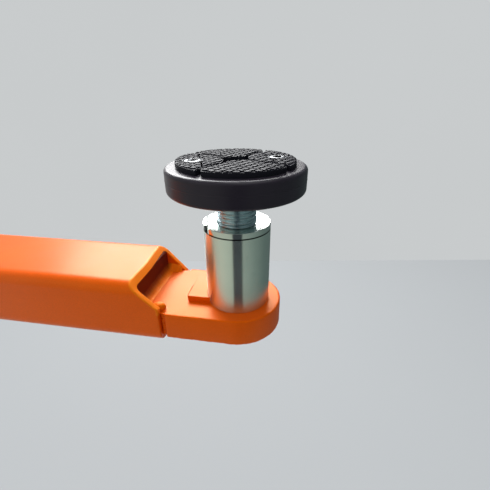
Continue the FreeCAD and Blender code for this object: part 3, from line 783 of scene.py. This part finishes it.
def studs(outline, draw):
    """Blunt four-sided points 5.75 mm apart on a lattice at 45 degrees to the bolts' line. Each
    has twelve points round its foot and its top. A point outside the block's outline is drawn
    in towards the middle of those inside until it meets the outline, found by halving."""
    apart, foot, top, least_width = 5.75, 2.42, 1.98, 1.3
    k = np.arange(-14, 15)
    u, v = [w.ravel() * apart for w in np.meshgrid(k, k)]
    centre = np.column_stack([u - v, u + v]) / math.sqrt(2)
    t = np.arange(3)[:, None] / 3
    square = np.array([[1, 0], [0, 1], [-1, 0], [0, -1]]) * math.sqrt(2)
    ring = np.concatenate([square[i] * (1 - t) + square[(i + 1) % 4] * t for i in range(4)])
    steps = inward(outline)
    rims = []
    for size, inset in ((foot, 0.25), (top, 0.45)):
        edge = outline + steps * inset
        points = centre[:, None] + ring * size
        inside = within(points, edge)
        core = within(centre, edge)
        middle = np.where(core[:, None], centre, (points * inside[..., None]).sum(1)
                          / np.maximum(inside.sum(1), 1)[:, None])
        near, far = np.zeros(inside.shape), np.ones(inside.shape)
        for _ in range(11):
            half = (near + far) / 2
            ok = within(middle[:, None] + (points - middle[:, None]) * half[..., None], edge)
            near, far = np.where(ok, half, near), np.where(ok, far, half)
        share = np.where(inside, 1, near)[..., None]
        rims.append((middle[:, None] + (points - middle[:, None]) * share, inside, middle))
    (low, _, _), (high, inside, middle) = rims
    keep = (inside.sum(1) >= 3) & (np.ptp(high, axis=1).min(-1) > least_width)
    low, high, middle = low[keep], high[keep], middle[keep]
    n = len(low)
    tilt = draw.normal(0, 0.012, (n, 1, 2))

    def drop(p):
        """How far a stud's top is worn down: most within 1.5 mm of the block's outline."""
        to_edge = np.linalg.norm(p[..., None, :] - outline[::2], axis=-1).min(-1)
        lean = ((p - middle[:, None]) * tilt).sum(-1)
        return 0.42 * np.exp(-(to_edge / 1.5) ** 2) + 0.06 - np.minimum(lean, 0.05)

    z_low = np.full((n, 12, 1), tread_top - stud_height - 0.2)
    hub = middle[:, None]
    rows = np.concatenate([np.dstack([low, z_low]), np.dstack([high, tread_top - drop(high)]),
                           np.dstack([hub, tread_top - drop(hub) + 0.04])], 1)
    rows[..., 2] = np.minimum(rows[..., 2], tread_top)
    a = np.arange(12)
    b = (a + 1) % 12
    sides = np.column_stack([a, b, b + 12, a + 12])
    roof = np.column_stack([a + 12, b + 12, np.full(12, 24)])
    first = (25 * np.arange(n))[:, None, None]
    return rows.reshape(-1, 3), [(sides + first).reshape(-1, 4), (roof + first).reshape(-1, 3),
                                 a[::-1] + first[:, 0]]


def tread():
    """The raised blocks with softly rounded upper edges, and the studs that stand on them."""
    top = tread_top - stud_height
    section = [(0, shoulder_z - 0.4), (0, top - 0.3), (0.08, top - 0.08), (0.3, top), (0.6, top)]
    draw = np.random.default_rng(7)
    return [(about(points, pad_turn), faces) for outline in tread_outlines()
            for points, faces in (slab(outline, section), studs(outline, draw))]


piece("pad_cover", [puck()], "screw", black_rubber, ["pad_rubber"])
piece("pad_tread", tread(), "screw", tread_rubber, crease=30)

# ---- countersunk bolts -------------------------------------------------------

def bolt(side):
    """Countersunk bolt: turned head and shank, with a six-sided socket whose wall is the
    apothem divided by the cosine of the angle to the nearest flat's middle."""
    low, high = reach("pad_bolts")
    a = math.radians(pad_turn)
    centre = (side * bolt_x * math.cos(a), side * bolt_x * math.sin(a))
    head, shank, socket, top = 7.8, 5.98, 4.0, high[2]
    profile = np.array([(0, top - 3.9), (socket, top - 3.6), (socket, top - 0.35),
                        (socket + 0.01, top - 0.34), (socket + 0.4, top), (head - 1.7, top),
                        (head - 1.4, top - 0.15), (head, top - 1.3), (head, top - 1.5),
                        (shank, top - 2.6), (shank, low[2] + 0.6), (shank - 0.6, low[2]),
                        (0, low[2])])

    def shape(r, z, b):
        """Makes the socket's round wall six-sided."""
        flat = (b - a + math.pi / 6) % (math.pi / 3) - math.pi / 6
        return np.where((r <= socket + 0.02) & (z > top - 3.8) & (r > 0), r / np.cos(flat), r)

    return shell(turned(profile, 72, centre, shape), close_rows=False)


piece("countersunk_bolts", [bolt(-1), bolt(1)], "screw", bolt_steel, ["pad_bolts"])

# ---- stage, light and camera -------------------------------------------------

floor_z, wall_far, wall_side = -0.35, 1.015, math.radians(9.37)
eye = (0.04973, -0.25727, 0.22126)


def backdrop(name, corners, tone, own_light, strength):
    """A flat, plain, faintly mottled surface behind or below the object. Only the camera sees
    the share of its brightness that is its own light."""
    mesh = bpy.data.meshes.new(name)
    mesh.from_pydata(corners, [], [(0, 1, 2, 3)])
    obj = bpy.data.objects.new(name, mesh)
    bpy.context.scene.collection.objects.link(obj)
    made, tree, bsdf, place = finish_of(name + "_paint", Roughness=0.9, Base_Color=colour(tone))
    out = next(n for n in tree.nodes if n.type == "OUTPUT_MATERIAL")
    cloud = node(tree, "TexNoise", {"Vector": place, "Scale": 1.6, "Detail": 5.0})
    own = node(tree, "Mix", {0: cloud.outputs[0], 6: colour(own_light, 0.98),
                             7: colour(own_light, 1.03)}, data_type="RGBA")
    glow = node(tree, "Emission", {"Color": own.outputs[2]})
    seen = node(tree, "Math", {0: node(tree, "LightPath").outputs["Is Camera Ray"], 1: strength},
                operation="MULTIPLY")
    mixed = node(tree, "MixShader", {0: seen.outputs[0], 1: bsdf.outputs[0], 2: glow.outputs[0]})
    tree.links.new(mixed.outputs[0], out.inputs["Surface"])
    mesh.materials.append(made)
    return obj


def from_eye(side, ahead):
    """A place on plan, given to the side of and ahead of the camera, in metres."""
    c, s = math.cos(wall_side), math.sin(wall_side)
    return eye[0] + side * c - ahead * s, eye[1] + side * s + ahead * c


left, right_end = from_eye(-6, wall_far), from_eye(6, wall_far)
near_left, near_right = from_eye(-6, -6), from_eye(6, -6)
backdrop("floor", [(*near_left, floor_z), (*near_right, floor_z), (*right_end, floor_z),
                   (*left, floor_z)], "#BBBFC1", "#BFC3C6", 0.80)
back_wall = backdrop("wall", [(*left, floor_z), (*right_end, floor_z), (*right_end, 4),
                              (*left, 4)], "#C8CCCC", "#C8CBCC", 1.0)
back_wall.visible_glossy = back_wall.visible_diffuse = back_wall.visible_shadow = False


def surround():
    """Glowing bowl of 0.62 m round the object, open at the back and seen only in the object's
    gloss, where it paints the reflections: pale grey-green to the left of the camera, a dark
    strip behind it, and teal shade to the right.
    Its stops are colours by the angle round the screw's axis from the camera, in degrees."""
    toward = math.atan2(eye[1], eye[0])
    a = toward + np.radians(np.linspace(-112, 158, 109))
    ring = np.column_stack([np.cos(a), np.sin(a)])
    grid = np.stack([np.column_stack([ring * r, np.full(109, z)])
                     for r, z in ((0.22, floor_z + 0.02), (0.62, -0.2), (0.62, 0.42))])
    points, (faces,) = shell(grid, False, False)
    mesh = bpy.data.meshes.new("surround")
    mesh.from_pydata(points, [], faces.tolist())
    obj = bpy.data.objects.new("surround", mesh)
    bpy.context.scene.collection.objects.link(obj)
    middle, spread = 20, 140
    made = bpy.data.materials.new("surround_glow_for_painted_reflections")
    made.use_nodes = True
    tree = made.node_tree
    tree.nodes.clear()
    place = node(tree, "TexCoord").outputs["Object"]
    facing = node(tree, "VectorRotate", {"Vector": place,
                                         "Angle": -toward - math.radians(middle)},
                  rotation_type="Z_AXIS")
    xyz = node(tree, "SeparateXYZ", {0: facing.outputs[0]})
    angle = node(tree, "Math", {0: xyz.outputs[1], 1: xyz.outputs[0]}, operation="ARCTAN2")
    share = node(tree, "MapRange", {0: angle.outputs[0], 1: math.radians(-spread),
                                    2: math.radians(spread)})
    ramp = node(tree, "ValToRGB", {0: share.outputs[0]})
    stops = [(-120, "#ADB1A6"), (-60, "#BFC2B5"), (-17.5, "#B1B8AD"), (-14.5, "#303538"),
             (-10, "#3C4045"), (10, "#3C4246"), (14, "#30373C"), (17.5, "#959F98"),
             (50, "#818E89"), (100, "#63716F"), (160, "#596565")]
    while len(ramp.color_ramp.elements) < len(stops):
        ramp.color_ramp.elements.new(0.5)
    for element, (degrees, code) in zip(ramp.color_ramp.elements, stops):
        element.position = (degrees - middle + spread) / (2 * spread)
        element.color = colour(code)
    glow = node(tree, "Emission", {"Color": ramp.outputs[0]})
    node(tree, "OutputMaterial", {"Surface": glow.outputs[0]})
    mesh.materials.append(made)
    obj.visible_camera = obj.visible_diffuse = obj.visible_shadow = False
    obj.visible_transmission = False


surround()

world = bpy.data.worlds.new("studio")
bpy.context.scene.world = world
world.use_nodes = True
tree = world.node_tree
tree.nodes.clear()
way = node(tree, "SeparateXYZ", {0: node(tree, "TexCoord").outputs["Generated"]})
side_share = node(tree, "MapRange", {0: way.outputs[0], 1: -0.9, 2: 0.9})
fill = node(tree, "Mix", {0: side_share.outputs[0], 6: colour("#C8C8C7"),
                          7: colour("#616769")}, data_type="RGBA")
camera_ray = node(tree, "LightPath").outputs["Is Camera Ray"]
seen = node(tree, "Mix", {0: camera_ray, 6: fill.outputs[2], 7: colour("#C8CCCD")},
            data_type="RGBA")
sky = node(tree, "Background", {"Color": seen.outputs[2]})
node(tree, "OutputWorld", {"Surface": sky.outputs[0]})


def softbox(name, at, aim, width, height, glow):
    """Soft rectangular light whose face shines with the given radiance."""
    lamp = bpy.data.lights.new(name, "AREA")
    lamp.shape, lamp.size, lamp.size_y = "RECTANGLE", width, height
    lamp.energy = glow * math.pi * width * height
    obj = bpy.data.objects.new(name, lamp)
    bpy.context.scene.collection.objects.link(obj)
    obj.location = at
    obj.rotation_mode = "QUATERNION"
    obj.rotation_quaternion = (Vector(aim) - Vector(at)).to_track_quat("-Z", "Y")
    obj.visible_camera = False


softbox("window_behind", (-0.39, 0.79, 0.72), (-0.05, 0.0, 0.08), 0.90, 0.55, 14.0)
softbox("low_window", (-0.24, 1.05, 0.27), (0.0, 0.0, 0.12), 1.35, 0.28, 0.80)
softbox("overhead", (0.20, -0.15, 1.30), (-0.05, 0.0, 0.0), 1.1, 1.1, 1.5)
softbox("key_left", (-0.9, -1.0, 0.55), (0.0, 0.0, 0.05), 0.9, 0.7, 1.5)

camera = bpy.data.objects.new("camera", bpy.data.cameras.new("camera"))
bpy.context.scene.collection.objects.link(camera)
bpy.context.scene.camera = camera
camera.data.sensor_width, camera.data.lens = 36.0, 22.54
camera.data.clip_start, camera.data.clip_end = 0.01, 50.0
look = Vector((-0.1458, 0.8838, -0.4446)).normalized()
right = Vector((0.987, 0.1606, -0.0045))
right = (right - right.dot(look) * look).normalized()
up = right.cross(look)
camera.matrix_world = Matrix.Translation(eye) @ Matrix((right, up, -look)).transposed().to_4x4()

bpy.context.scene.view_settings.view_transform = "Standard"
